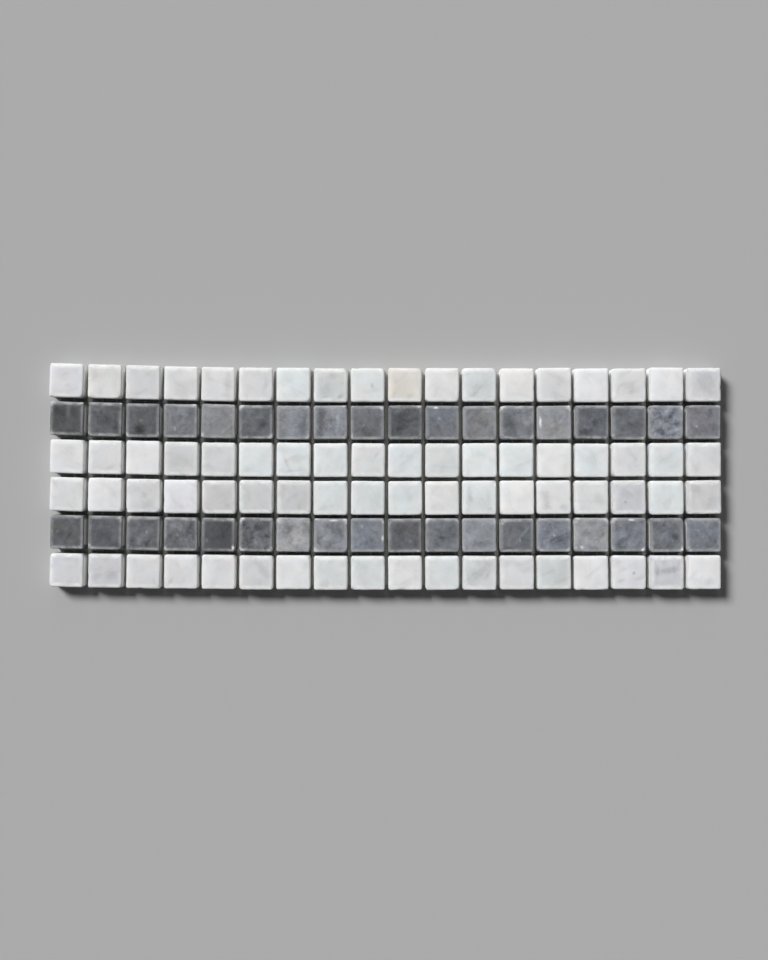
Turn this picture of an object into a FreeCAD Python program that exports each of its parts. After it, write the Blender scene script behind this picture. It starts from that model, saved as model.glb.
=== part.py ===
import FreeCAD, Part
import math
import os
import random

# A mosaic tile sheet: rows of small square marble tiles, white and grey, glued by their
# backs to a glass-fibre net. The sheet lies face up. X runs along the rows, Y across them
# and Z up from the underside of the net. Row 1 is the one furthest towards plus Y.

# Tiles, in millimetres
tiles_per_row = 18
row_colours = ("white", "grey", "white", "white", "grey", "white")
tile_side = 15.3
tile_thickness = 8.0
joint_width = 1.7
corner_cut = 0.6
edge_ease = 0.7

# Laying by hand: how far a tile may stray from its place, angle (degrees) and size
place_scatter = 0.15
turn_scatter = 0.6
side_scatter = 0.1
thickness_scatter = 0.1
laying_seed = 6

# The rows bow towards plus Y at their ends, and the left ends also fan apart. The tiles
# left of the middle have crept to the right, which opens the joints at the left end.
left_end_lift = 1.9
right_end_lift = 0.3
left_end_fan = 0.6
left_half_creep = 0.6

# Net of flat glass-fibre strands: long ones below, cross ones bonded on top of them
strand_width = 0.9
strand_thickness = 0.2
net_pitch = 6.5
net_inset = 1.5
net_sections = 3

# Worked out from the dimensions above
tile_pitch = tile_side + joint_width
sheet_length = tiles_per_row * tile_pitch - joint_width
sheet_width = len(row_colours) * tile_pitch - joint_width
net_length = sheet_length - 2 * net_inset
net_width = sheet_width - 2 * net_inset
net_thickness = 2 * strand_thickness

dice = random.Random(laying_seed)


def stray(limit):
    """A hand layer's small error, up to the limit either way."""
    return dice.uniform(-limit, limit)


def places(count, pitch):
    """Centres of a line of equal places, even about zero."""
    return [(index - (count - 1) / 2) * pitch for index in range(count)]


def row_lift(x, y):
    """How far towards plus Y the bow of the rows carries the tile at x, y."""
    along = 2 * x / sheet_length
    if along > 0:
        return right_end_lift * along ** 2
    fan = left_end_fan * 2 * y / sheet_width
    return (left_end_lift + fan) * along ** 2


def row_creep(x):
    """How far towards plus X the tile at x has crept: not at all at the row's two ends."""
    along = 2 * x / sheet_length
    return left_half_creep * (1 - along ** 2) * (1 - along) ** 2


def row_angle(x, y):
    """Slope of the bowed row at x, y, in degrees."""
    rise = row_lift(x + tile_side / 2, y) - row_lift(x - tile_side / 2, y)
    return math.degrees(math.atan2(rise, tile_side))


def sawn_tile(side_x, side_y, thickness):
    """One tile about the Z axis, back down on z = 0, with worn corners and an eased face."""
    tile = Part.makeBox(side_x, side_y, thickness, FreeCAD.Vector(-side_x / 2, -side_y / 2, 0))
    corners = [edge for edge in tile.Edges if edge.BoundBox.ZLength > thickness / 2]
    tile = tile.makeChamfer(corner_cut, corners)
    face_rim = [edge for edge in tile.Edges if edge.BoundBox.ZMin > thickness / 2]
    return tile.makeChamfer(edge_ease, face_rim)


def tile_row(y):
    """The separate tiles of the row at y, each laid with its own small errors on the net."""
    tiles = []
    for x in places(tiles_per_row, tile_pitch):
        tile = sawn_tile(
            tile_side + stray(side_scatter),
            tile_side + stray(side_scatter),
            tile_thickness + stray(thickness_scatter),
        )
        turn = row_angle(x, y) + stray(turn_scatter)
        tile.rotate(FreeCAD.Vector(0, 0, 0), FreeCAD.Vector(0, 0, 1), turn)
        tile.translate(FreeCAD.Vector(
            x + row_creep(x) + stray(place_scatter),
            y + row_lift(x, y) + stray(place_scatter),
            net_thickness,
        ))
        tiles.append(tile)
    return Part.makeCompound(tiles)


def strand(x_from, x_to, y_from, y_to, bottom):
    """A flat strand between the given sides, its underside at the given height."""
    corner = FreeCAD.Vector(x_from, y_from, bottom)
    return Part.makeBox(x_to - x_from, y_to - y_from, strand_thickness, corner)


def net_section(cross_places, x_from, x_to):
    """Part of the net between two heights of X: long and cross strands bonded into one."""
    half_strand = strand_width / 2
    long_count = int((net_width - strand_width) / net_pitch) + 1
    strands = []
    for y in places(long_count, net_pitch):
        strands.append(strand(x_from, x_to, y - half_strand, y + half_strand, 0))
    for x in cross_places:
        strands.append(strand(
            x - half_strand, x + half_strand, -net_width / 2, net_width / 2, strand_thickness
        ))
    return strands[0].multiFuse(strands[1:])


def net():
    """The whole net as sections that meet midway between two cross strands."""
    cross_count = int((net_length - strand_width) / net_pitch) + 1
    cross_places = places(cross_count, net_pitch)
    per_section = math.ceil(cross_count / net_sections)
    sections = []
    x_from = -net_length / 2
    for first in range(0, cross_count, per_section):
        group = cross_places[first:first + per_section]
        is_last = first + per_section >= cross_count
        x_to = net_length / 2 if is_last else group[-1] + net_pitch / 2
        sections.append(net_section(group, x_from, x_to))
        x_from = x_to
    return sections


def main():
    rows = []
    for y in reversed(places(len(row_colours), tile_pitch)):
        rows.append(tile_row(y))

    nodes = {}
    for number, (colour, row) in enumerate(zip(row_colours, rows), start=1):
        nodes[f"{colour}_tiles_row_{number}"] = row
    for number, section in enumerate(net(), start=1):
        nodes[f"net_section_{number}"] = section

    # The origin goes under the middle of the outline that the tiles make
    middle = Part.makeCompound(rows).BoundBox.Center
    os.makedirs("parts", exist_ok=True)
    for name, shape in nodes.items():
        shape.translate(FreeCAD.Vector(-middle.x, -middle.y, 0))
        shape.exportStep(f"parts/{name}.step")


main()
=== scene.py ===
import math
import random
from typing import NamedTuple

import bmesh
import bpy
from bpy.props import FloatProperty, FloatVectorProperty, IntProperty, PointerProperty
from mathutils import Matrix, Vector, noise


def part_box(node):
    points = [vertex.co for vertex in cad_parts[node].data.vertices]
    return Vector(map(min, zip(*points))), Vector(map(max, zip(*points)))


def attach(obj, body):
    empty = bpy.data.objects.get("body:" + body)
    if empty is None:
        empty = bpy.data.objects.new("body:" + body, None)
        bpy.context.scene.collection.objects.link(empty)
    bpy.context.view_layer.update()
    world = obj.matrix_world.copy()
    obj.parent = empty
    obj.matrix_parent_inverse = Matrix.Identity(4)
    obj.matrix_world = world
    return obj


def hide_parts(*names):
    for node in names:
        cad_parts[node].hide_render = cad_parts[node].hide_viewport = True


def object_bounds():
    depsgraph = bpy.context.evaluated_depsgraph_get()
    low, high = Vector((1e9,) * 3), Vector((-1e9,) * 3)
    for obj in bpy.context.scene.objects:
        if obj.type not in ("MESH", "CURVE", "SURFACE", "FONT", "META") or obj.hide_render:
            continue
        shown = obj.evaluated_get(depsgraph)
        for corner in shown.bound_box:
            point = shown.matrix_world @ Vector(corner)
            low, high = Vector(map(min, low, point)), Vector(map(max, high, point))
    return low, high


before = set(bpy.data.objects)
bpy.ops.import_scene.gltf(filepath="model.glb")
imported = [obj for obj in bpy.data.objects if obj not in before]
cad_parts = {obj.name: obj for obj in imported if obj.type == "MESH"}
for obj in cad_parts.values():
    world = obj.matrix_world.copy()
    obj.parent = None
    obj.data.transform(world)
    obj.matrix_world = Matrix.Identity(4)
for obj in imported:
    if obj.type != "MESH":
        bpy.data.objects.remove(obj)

bl_info = {
    "name": "Marble mosaic sheet",
    "version": (1, 0, 0),
    "blender": (4, 5, 0),
    "location": "View3D > Sidebar > Mosaic",
    "description": "Makes a net-backed sheet of small worn marble tiles",
    "category": "Add Mesh",
}

CAD_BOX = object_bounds()
MM = 0.001

# Tile patterns are in millimetres from the tile's middle, on a tile of this nominal size
PATTERN_HALF_SIDE = 7.65
CORNER_RADIUS = 1.0

# Rows are counted from the top of the sheet, columns from its left end. A tile's number is its
# row's hundred plus its column: 312 is the 12th tile of row 3
WHITE_ROWS = (1, 3, 4, 6)
GREY_ROWS = (2, 5)
ROWS = len(WHITE_ROWS) + len(GREY_ROWS)
NUMBERS_PER_ROW = 100

# How light each tile was seen to be. The rest are of their row's own shade
BRIGHT_TILES = (113, 115, 117, 312, 313, 314, 413)
LIGHT_TILES = (
    107, 109, 111, 301, 303, 306, 307, 308, 310, 315, 317, 402, 404, 410, 411, 412, 414, 417,
    607, 610, 615, 618,
)
GREYED_TILES = (103, 108, 118, 304, 305, 403, 601, 606, 612, 614)
GREYEST_TILES = (405, 406, 407, 416, 418, 602, 617)
DARKEST_TILES = (201, 505)
DARK_TILES = (202, 203, 210, 501, 502)
DEEP_TILES = (206, 215, 503, 506, 510)
LOW_TILES = (209, 216, 504, 513)
MUTED_TILES = (511, 517)
FAIR_TILES = (212, 509, 514, 516, 518)
PALE_TILES = (205, 207, 208, 217, 508)
PALEST_TILES = (214, 507, 512, 515)

# Tiles whose colour leans another way than their row's
BEIGE_TILES = (110,)
WARM_TILES = (102, 113, 314, 411, 413)
COOL_TILES = (107, 112, 306, 307, 308, 310, 312, 313, 315, 317, 408, 409, 410, 412, 417, 609, 611, 614)
FAINTLY_COOL_TILES = (108, 109, 309, 311, 406, 608, 612)
LAVENDER_TILES = (101, 118, 404, 416, 601, 602, 616, 617)
BLUE_TILES = (211, 215, 217, 502, 509, 514, 516, 518)
PURPLE_TILES = (201, 218, 501, 505, 510)
NEUTRAL_TILES = (205, 212, 214, 507, 515)

# Tiles with more of their stone's clouds and smears than the rest
MOTTLED_TILES = (108, 112, 116, 201, 217, 307, 403, 412, 414, 504, 506, 612, 616, 617)
# Tiles of plainer stone than the rest
PLAINER_TILES = (205, 212, 214, 512, 513)


class Mark(NamedTuple):
    """A single spot or streak on a tile's face: its middle from the tile's middle, its two
    reaches (millimetres), its turn (degrees) and how much lighter or darker it is."""

    x: float
    y: float
    reach_x: float
    reach_y: float
    turn: float
    shade: float


NO_MARK = Mark(0, 0, 1, 1, 0, 0)
MARKS_PER_TILE = 3
MARKS = {
    103: (Mark(0, -5, 8, 3, 0, -0.08),),
    104: (Mark(1.5, -2, 6, 4, 32, -0.06),),
    105: (Mark(4.4, 0.5, 1.9, 7.5, 0, -0.11),),
    107: (Mark(-2.2, 1.6, 1.8, 1.2, 15, -0.07),),
    108: (Mark(-2.5, -1.5, 4, 5, 20, -0.08), Mark(4.2, -5.2, 1.4, 1.2, 0, -0.16)),
    109: (Mark(2.1, -0.3, 0.9, 1.4, 15, -0.22),),
    110: (Mark(2.5, -5, 2.4, 1.2, 10, -0.12),),
    112: (Mark(0.5, -0.5, 5.5, 5, 0, -0.08), Mark(-2.6, -4.4, 2.2, 1.4, 25, -0.11)),
    116: (Mark(-0.5, 0.8, 6.5, 1.3, 12, -0.10), Mark(1.5, -3, 5, 1.2, 8, -0.08)),
    118: (Mark(0.5, 0.6, 5.5, 4.5, 20, -0.10),),
    201: (
        Mark(-2.6, 3, 3.4, 2.6, 20, -0.60),
        Mark(3.4, 2.4, 2.2, 4, 15, -0.60),
        Mark(0.4, 3.6, 1.2, 3.2, 0, 0.90),
    ),
    202: (Mark(-5, 3, 2.4, 0.9, 0, -0.45), Mark(-0.7, 3.2, 0.7, 0.6, 0, 0.50)),
    203: (Mark(-1.4, -4.2, 3.4, 3.4, 0, -0.95), Mark(-0.9, 0, 0.7, 0.6, 0, 0.95)),
    204: (Mark(-5, 2.3, 0.9, 3.5, 10, 0.35), Mark(-2.5, -3.7, 0.6, 1.2, 0, 0.45)),
    205: (Mark(4, -3.2, 4.4, 0.7, 40, 0.24), Mark(-2.5, -0.2, 0.5, 0.6, 0, 0.35)),
    206: (Mark(3.2, 0, 3.8, 2.6, 20, -0.30), Mark(0.2, 2, 1.6, 0.8, 0, 0.30)),
    207: (Mark(4.4, -2.2, 2.6, 3.6, -20, -0.42), Mark(-3.9, 1.5, 1.2, 0.7, 0, 0.22)),
    208: (Mark(-4.4, 0.5, 2.4, 8.5, -4, -0.60), Mark(3.2, 1.5, 0.9, 3.4, 5, 0.32)),
    209: (
        Mark(-2, -1.4, 0.7, 0.7, 0, 0.50),
        Mark(3, -3.4, 1.5, 1, 0, -0.30),
        Mark(6.4, 6.3, 0.9, 0.9, 0, 1.20),
    ),
    210: (Mark(-2.6, 0.2, 3.8, 5.5, -20, -0.30), Mark(-3.2, 5.4, 2.4, 1, 15, 0.38)),
    211: (Mark(-2.8, 6.7, 1.4, 0.6, 0, 1.60), Mark(-1.4, 2, 0.8, 0.8, 0, 0.55)),
    212: (Mark(4.2, 5.2, 3.2, 1, 0, 0.28),),
    213: (Mark(-3.8, 0, 3.4, 5, -10, -0.42), Mark(3.8, 2.4, 4.2, 4, 20, 0.50)),
    214: (Mark(-6.3, 0.2, 0.8, 2.8, 0, 1.50), Mark(3.2, 1.2, 0.8, 3, -35, 0.28)),
    215: (Mark(-3.4, -4.2, 2.8, 2, 0, -0.38),),
    216: (Mark(1, -1.5, 5, 3.4, 0, -0.16),),
    217: (
        Mark(1.7, 2.7, 1.2, 1.1, 0, -0.55),
        Mark(3.2, -0.8, 2.2, 0.7, 0, -0.38),
        Mark(-2.8, -3.4, 3.4, 0.9, -20, -0.35),
    ),
    218: (Mark(-3.4, -2, 0.7, 0.7, 0, 0.65),),
    302: (Mark(2.8, -4.5, 4, 1.2, 25, -0.09),),
    304: (Mark(1.5, -1, 5.5, 2.6, -30, -0.10),),
    307: (Mark(-3, -1.5, 1, 4.2, 22, -0.14), Mark(3, -4, 2.4, 1.2, 20, -0.08)),
    309: (Mark(3.6, 2.2, 0.9, 2, -35, -0.12),),
    310: (Mark(1, 1.2, 3.4, 2.6, 0, -0.06),),
    315: (Mark(2.4, -2, 4, 2.6, 20, -0.03),),
    316: (Mark(3.8, -2.6, 1.4, 1.1, 20, -0.06),),
    317: (Mark(-2.1, 0.5, 3.6, 2.2, -15, -0.06),),
    403: (Mark(2.2, -3.6, 3.6, 2.6, 20, -0.10), Mark(-2.5, 3, 3, 1.6, 10, -0.07)),
    405: (Mark(0.5, 1, 4.5, 3.4, 25, -0.08),),
    407: (Mark(-0.6, 0, 4.6, 1.8, 35, -0.08),),
    410: (Mark(1.4, 0.5, 1.8, 4.2, 5, -0.06),),
    412: (Mark(-4.6, 0.5, 1.5, 6.5, -4, -0.14), Mark(4, -2, 2, 5, 0, -0.08)),
    414: (Mark(-3.8, -0.5, 3, 5.5, 15, -0.08),),
    415: (Mark(3.4, -0.5, 2.6, 4, 20, -0.13),),
    416: (Mark(-1.6, -2, 0.7, 0.7, 0, -0.28),),
    418: (Mark(2.1, -1, 0.8, 0.8, 0, -0.10),),
    501: (Mark(0.9, -1.8, 3.8, 0.7, 50, -0.42), Mark(-4.1, 0.3, 1, 0.9, 0, 0.45)),
    502: (Mark(0.3, -1.5, 3.8, 2.8, 0, -0.28), Mark(-0.5, 0.5, 1, 0.7, 0, 0.32)),
    503: (
        Mark(1.5, 0.6, 0.6, 1.1, -30, 0.75),
        Mark(-1.8, -4, 1.3, 2.4, 0, 0.38),
        Mark(-4.6, -3.1, 1.7, 2.2, 0, -0.32),
    ),
    504: (Mark(-2.5, -0.7, 1.9, 3.2, 0, 0.32), Mark(3.6, 3.2, 3, 2, 0, -0.32)),
    505: (Mark(-5.2, -2.5, 0.9, 1.1, 0, 0.90), Mark(6.6, -5.6, 0.8, 1.3, 0, 1.60)),
    506: (Mark(0.3, -1.8, 1.7, 4.2, -10, 0.42), Mark(1.6, 2.8, 2.8, 1.6, 0, -0.38)),
    507: (Mark(-1.5, 2.7, 2, 1.6, 50, -0.38), Mark(3.2, -2.6, 4.4, 4, 0, 0.12)),
    508: (Mark(4.4, 1.4, 1.5, 4, 25, -0.40), Mark(1.3, 6.8, 2, 0.5, 0, 1.00)),
    509: (Mark(-2.7, 4, 0.9, 0.9, 0, 0.45), Mark(6.8, -1.4, 0.7, 1.5, 0, 1.20)),
    510: (Mark(-3.8, 3.2, 2.8, 3.2, 0, -0.36), Mark(2.4, -2.7, 1.1, 1.1, 0, 0.60)),
    511: (Mark(0, -1.3, 1.6, 1, 0, -0.30),),
    512: (Mark(0.4, -4.2, 5, 2, 0, -0.28),),
    513: (
        Mark(2.6, 0.6, 0.9, 6, -40, 0.48),
        Mark(1.4, -2.1, 0.6, 1.3, 10, 1.00),
        Mark(-5.5, 5.6, 1.6, 1.2, 45, 0.60),
    ),
    514: (Mark(1.2, -1.2, 6.2, 0.6, 25, -0.36), Mark(0, -0.2, 0.7, 0.9, 0, 0.75)),
    515: (Mark(-2.4, 0.4, 3, 2.4, 0, -0.30), Mark(-4.4, -5.5, 1.1, 1, 0, 0.90)),
    516: (
        Mark(0.8, 6.8, 1.7, 0.6, 0, 1.80),
        Mark(6.5, -6.5, 1, 0.8, 40, 1.40),
        Mark(-2.6, -2.6, 4, 1.8, 35, -0.42),
    ),
    517: (
        Mark(3.8, -0.8, 1.8, 1.8, 0, -0.46),
        Mark(2.4, -2.6, 0.5, 0.5, 0, 0.65),
        Mark(6.8, -6, 0.7, 1.4, 0, 1.10),
    ),
    518: (Mark(-2.8, 2, 1, 0.8, 0, 0.50), Mark(-0.8, -0.9, 0.9, 0.9, 0, 0.48)),
    601: (Mark(0, 5.2, 3, 1.2, 15, -0.07),),
    602: (Mark(2.8, -2.6, 4, 2.2, 35, -0.10), Mark(-2.5, 1, 2.6, 1.4, 20, -0.06)),
    604: (Mark(-4.8, -4.6, 1.2, 2.2, -35, -0.14),),
    606: (Mark(3.2, 1.2, 2.2, 6.5, 40, -0.12),),
    612: (Mark(0.4, 0, 5.4, 2.2, 35, -0.13), Mark(4.2, 4.4, 3, 1.4, 20, -0.08)),
    613: (Mark(1, 4, 5, 1.2, 8, -0.07),),
    615: (Mark(1.5, 1, 5, 1.2, 40, -0.08),),
    616: (Mark(2.1, -0.2, 0.9, 0.9, 0, -0.34), Mark(-3.6, -3.8, 2.6, 1, 20, -0.16)),
    617: (Mark(1.4, 1, 4.8, 1.9, 10, -0.26), Mark(-4, 0.5, 2.2, 2.6, 0, -0.16)),
}

# How a tile's stone leans from the even colour of its row: red, green and blue
PLAIN_TINT = (1.0, 1.0, 1.0)
TINTS = (
    (BEIGE_TILES, (1.04, 1.0, 0.92)),
    (WARM_TILES, (1.012, 1.0, 0.975)),
    (COOL_TILES, (0.972, 1.018, 1.013)),
    (FAINTLY_COOL_TILES, (0.975, 1.0, 0.99)),
    (LAVENDER_TILES, (1.0, 1.0, 1.03)),
    (BLUE_TILES, (0.975, 1.0, 1.05)),
    (PURPLE_TILES, (1.05, 1.0, 1.01)),
    (NEUTRAL_TILES, (1.045, 1.0, 0.93)),
)


class TileLook(NamedTuple):
    """How one tile's stone differs from the next, and where in the block it was cut."""

    shade: float
    tint: tuple
    mottle: float
    wear: float
    marks: tuple
    block: Matrix


class LaidTile(NamedTuple):
    """Where one tile lies: the middle of its back, its three sizes and its turn about Z."""

    centre: Vector
    size: Vector
    turn: float


class MosaicSizes(bpy.types.PropertyGroup):
    """Sizes of the tiles and the net that a user might change."""

    corner_radius: FloatProperty(
        name="Corner radius",
        description="Rounding of a tile's upright corners",
        default=CORNER_RADIUS * MM,
        unit="LENGTH",
    )
    face_ease: FloatProperty(
        name="Face ease",
        description="Rounding where a tile's face meets its sides",
        default=0.50 * MM,
        unit="LENGTH",
    )
    face_crown: FloatProperty(
        name="Face crown",
        description="How much the middle of a tile's face stands above its rim",
        default=0.09 * MM,
        unit="LENGTH",
    )
    back_ease: FloatProperty(
        name="Back ease",
        description="Small bevel round a tile's back",
        default=0.2 * MM,
        unit="LENGTH",
    )
    edge_wear: FloatProperty(
        name="Edge wear",
        description="How deep tumbling has worn a tile's edges in and out",
        default=0.12 * MM,
        unit="LENGTH",
    )
    nick_depth: FloatProperty(
        name="Nick depth",
        description="Depth of the deepest small nicks in a tile's edges",
        default=0.5 * MM,
        unit="LENGTH",
    )
    strand_width: FloatProperty(
        name="Strand width",
        description="Width of one flat strand of the net",
        default=0.9 * MM,
        unit="LENGTH",
    )
    strand_thickness: FloatProperty(
        name="Strand thickness",
        description="Thickness of one flat strand of the net",
        default=0.2 * MM,
        unit="LENGTH",
    )
    net_pitch: FloatProperty(
        name="Net pitch",
        description="Distance from one strand of the net to the next",
        default=6.5 * MM,
        unit="LENGTH",
    )
    glue_reach: FloatProperty(
        name="Glue reach",
        description="Radius of the patch of glue on a tile's back",
        default=5.6 * MM,
        unit="LENGTH",
    )
    seed: IntProperty(
        name="Seed",
        description="Changes which stone each tile is cut from and how it is worn",
        default=11,
        min=0,
    )


COLOUR = {"subtype": "COLOR", "min": 0.0, "max": 1.0}


class MosaicColours(bpy.types.PropertyGroup):
    """Colours of the stones, the net and the floor that a user might change."""

    white_stone: FloatVectorProperty(
        name="White marble",
        description="Body colour of the white marble",
        default=(0.711, 0.713, 0.721),
        **COLOUR,
    )
    grey_stone: FloatVectorProperty(
        name="Grey marble",
        description="Body colour of the grey marble",
        default=(0.176, 0.185, 0.205),
        **COLOUR,
    )
    worn_white: FloatVectorProperty(
        name="Worn white",
        description="Bruised edge of a white tile",
        default=(0.85, 0.855, 0.85),
        **COLOUR,
    )
    worn_grey: FloatVectorProperty(
        name="Worn grey",
        description="Bruised edge of a grey tile",
        default=(0.40, 0.405, 0.41),
        **COLOUR,
    )
    # The pale colour of the painted light that brightens the joints across the rows
    joint_light_colour: FloatVectorProperty(
        name="Stone dust",
        description="Pale dust of sawn stone on the tiles' sides",
        default=(0.90, 0.90, 0.89),
        **COLOUR,
    )
    net: FloatVectorProperty(
        name="Net",
        description="Glass-fibre net",
        default=(0.66, 0.66, 0.62),
        **COLOUR,
    )
    glue: FloatVectorProperty(
        name="Glue",
        description="Dried glue between the net and the tiles",
        default=(0.62, 0.61, 0.57),
        **COLOUR,
    )
    floor: FloatVectorProperty(
        name="Floor",
        description="Plain floor that the sheet lies on",
        default=(0.42, 0.42, 0.42),
        **COLOUR,
    )


class Wire:
    """An output socket of a shader node, which sums can be written with."""

    def __init__(self, nodes, socket):
        self.nodes = nodes
        self.socket = socket

    def joined(self, operation, first, second):
        """A Math node for a number, or a Vector Math node for a vector."""
        is_vector = self.socket.type == "VECTOR"
        kind = "ShaderNodeVectorMath" if is_vector else "ShaderNodeMath"
        return self.nodes.node(kind, {"operation": operation}, {0: first, 1: second})

    def __add__(self, other):
        return self.joined("ADD", self, other)

    def __radd__(self, other):
        return self.joined("ADD", other, self)

    def __sub__(self, other):
        return self.joined("SUBTRACT", self, other)

    def __rsub__(self, other):
        return self.joined("SUBTRACT", other, self)

    def __mul__(self, other):
        return self.joined("MULTIPLY", self, other)

    def __rmul__(self, other):
        return self.joined("MULTIPLY", other, self)

    def __truediv__(self, other):
        return self.joined("DIVIDE", self, other)

    def __abs__(self):
        return self.joined("ABSOLUTE", self, 0.0)


def socket_named(sockets, key):
    """A node's socket by its number, its identifier or its name."""
    if isinstance(key, int):
        return sockets[key]
    for socket in sockets:
        if socket.identifier == key:
            return socket
    return sockets[key]


# How softly cells are chosen for a speck, and how much of a speck's size is fully covered
SPECK_CHOICE = 0.05
SPECK_CORE = 0.35


class ShaderNodes:
    """The nodes of a material or a world while it is being made."""

    def __init__(self, owner):
        owner.use_nodes = True
        self.owner = owner
        self.tree = owner.node_tree
        self.tree.nodes.clear()

    def node(self, kind, settings, inputs, output=0):
        """Adds a node, its settings first and then its sockets' values or links."""
        node = self.tree.nodes.new(kind)
        for name, value in settings.items():
            setattr(node, name, value)
        for key, value in inputs.items():
            socket = socket_named(node.inputs, key)
            if isinstance(value, Wire):
                self.tree.links.new(value.socket, socket)
            elif socket.type == "VECTOR" and isinstance(value, (int, float)):
                socket.default_value = (value, value, value)
            elif socket.type == "RGBA":
                socket.default_value = (*value, 1.0)
            else:
                socket.default_value = value
        return Wire(self, socket_named(node.outputs, output)) if node.outputs else None

    def attribute(self, name, output="Vector"):
        """A value that the mesh carries."""
        return self.node("ShaderNodeAttribute", {"attribute_name": name}, {}, output)

    def parts(self, vector):
        """The X, Y and Z of a vector."""
        split = self.node("ShaderNodeSeparateXYZ", {}, {"Vector": vector})
        outputs = split.socket.node.outputs
        return [Wire(self, outputs[axis]) for axis in "XYZ"]

    def length(self, vector):
        """The length of a vector."""
        return self.node("ShaderNodeVectorMath", {"operation": "LENGTH"}, {0: vector}, "Value")

    def larger(self, first, second):
        """The larger of two numbers."""
        return self.node("ShaderNodeMath", {"operation": "MAXIMUM"}, {0: first, 1: second})

    def smaller(self, first, second):
        """The smaller of two numbers."""
        return self.node("ShaderNodeMath", {"operation": "MINIMUM"}, {0: first, 1: second})

    def fade(self, value, start, end):
        """A smooth 0 to 1 as the value goes from start to end."""
        return self.node(
            "ShaderNodeMapRange",
            {"interpolation_type": "SMOOTHSTEP"},
            {"Value": value, "From Min": start, "From Max": end},
        )

    def laid_over(self, amount, under, over):
        """The colour over, laid on the colour under by an amount from 0 to 1."""
        return self.node(
            "ShaderNodeMix",
            {"data_type": "RGBA"},
            {"Factor_Float": amount, "A_Color": under, "B_Color": over},
            "Result_Color",
        )

    def shaded(self, colour, amount):
        """A colour made lighter or darker by a factor."""
        return self.node(
            "ShaderNodeVectorMath", {"operation": "SCALE"}, {"Vector": colour, "Scale": amount}
        )

    def cloud(self, place, scale, detail, roughness=0.5, distortion=0.0):
        """Noise about a half, from its scale, detail, roughness and distortion."""
        numbers = {"Scale": scale, "Detail": detail, "Roughness": roughness}
        inputs = {"Vector": place, **numbers, "Distortion": distortion}
        return self.node("ShaderNodeTexNoise", {}, inputs)

    def billows(self, place, *noise_shape):
        """The same noise, about 0."""
        return self.cloud(place, *noise_shape) - 0.5

    def specks(self, place, scale, size, share):
        """Small round specks in a share of the cells of a scattered grid."""
        near = self.node("ShaderNodeTexVoronoi", {}, {"Vector": place, "Scale": scale}, "Distance")
        colour = Wire(self, near.socket.node.outputs["Color"])
        chosen = self.fade(self.parts(colour)[0], 1.0 - share, 1.0 - share + SPECK_CHOICE)
        return self.fade(near, size, size * SPECK_CORE) * chosen

    def bump(self, height, depth):
        """A Normal from a height of 0 to 1 that stands for a depth in metres."""
        return self.node(
            "ShaderNodeBump", {}, {"Strength": 1.0, "Distance": depth, "Height": height}, "Normal"
        )


class Finish(ShaderNodes):
    """One material while it is being made."""

    def __init__(self, name):
        super().__init__(bpy.data.materials.new(name))

    def done(self, inputs):
        """Ends the material with a Principled shader."""
        shader = self.node("ShaderNodeBsdfPrincipled", {}, inputs, "BSDF")
        self.node("ShaderNodeOutputMaterial", {}, {"Surface": shader})
        return self.owner


class StoneFinish(Finish):
    """A marble's material, with what each point of a tile carries: its place in the tile and in
    the block of stone, and the tile's shade, how strong its clouds are and its joints' painted shade
    and light."""

    def __init__(self, name, colours):
        super().__init__(name)
        self.colours = colours
        self.place = self.attribute("in_tile")
        self.stone_place = self.attribute("in_block")
        self.shade, self.mottle, self.joint_light = self.parts(self.attribute("tone"))


# In the names below, NOISE is a pattern's scale per millimetre, detail and roughness. SHIFT moves
# it to another part of the stone, in millimetres. FADE is the noise where something starts and
# where it is full
FLATTENED = (1.0, 1.0, 0.0)


def depth_from_outline(finish):
    """Distance in from the tile's rounded outline, seen from above, in millimetres."""
    straight = PATTERN_HALF_SIDE - CORNER_RADIUS
    beyond = abs(finish.place * FLATTENED) - (straight, straight, 0.0)
    past_corner = finish.node(
        "ShaderNodeVectorMath", {"operation": "MAXIMUM"}, {0: beyond, 1: (0.0, 0.0, 0.0)}
    )
    beyond_x, beyond_y, _ = finish.parts(beyond)
    inside = finish.smaller(finish.larger(beyond_x, beyond_y), 0.0)
    return CORNER_RADIUS - finish.length(past_corner) - inside


# Where a mark fades, as shares of its reach, and how ragged its edge is
MARK_GONE = 1.25
MARK_FULL = 0.15
MARK_RAGGED = 1.1
MARK_EDGE_NOISE = (0.8, 4.0, 0.6)


def marked(finish):
    """How much the tile's own spots and streaks lighten or darken it here, softly edged."""
    ragged = finish.billows(finish.stone_place, *MARK_EDGE_NOISE) * MARK_RAGGED
    shades = finish.parts(finish.attribute("mark_shades"))
    factor = 1.0
    for number, shade in enumerate(shades):
        mark = finish.attribute(f"mark_{number}")
        turn = finish.parts(mark)[2]
        offset = (finish.place - mark) * FLATTENED
        turned = finish.node(
            "ShaderNodeVectorRotate", {"rotation_type": "Z_AXIS"}, {"Vector": offset, "Angle": turn}
        )
        distance = finish.length(turned / finish.attribute(f"mark_reach_{number}"))
        factor = (finish.fade(distance + ragged, MARK_GONE, MARK_FULL) * shade + 1.0) * factor
    return factor


LEAN_SHIFT = (9.0, 70.0, 33.0)
LEAN_NOISE = (0.10, 2.0, 0.5)
LEAN_FADE = (0.36, 0.64)


def leaning(finish, colour, warmth):
    """The stone's colour, here a little warmer and there a little cooler."""
    red, green, blue = colour
    warm = (red * (1.0 + warmth), green, blue * (1.0 - warmth))
    cool = (red * (1.0 - warmth), green, blue * (1.0 + warmth))
    drift = finish.fade(finish.cloud(finish.stone_place + LEAN_SHIFT, *LEAN_NOISE), *LEAN_FADE)
    return finish.laid_over(drift, warm, cool)


# The least share of a tile's own tint
TINT_LEAST = 0.3


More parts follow.
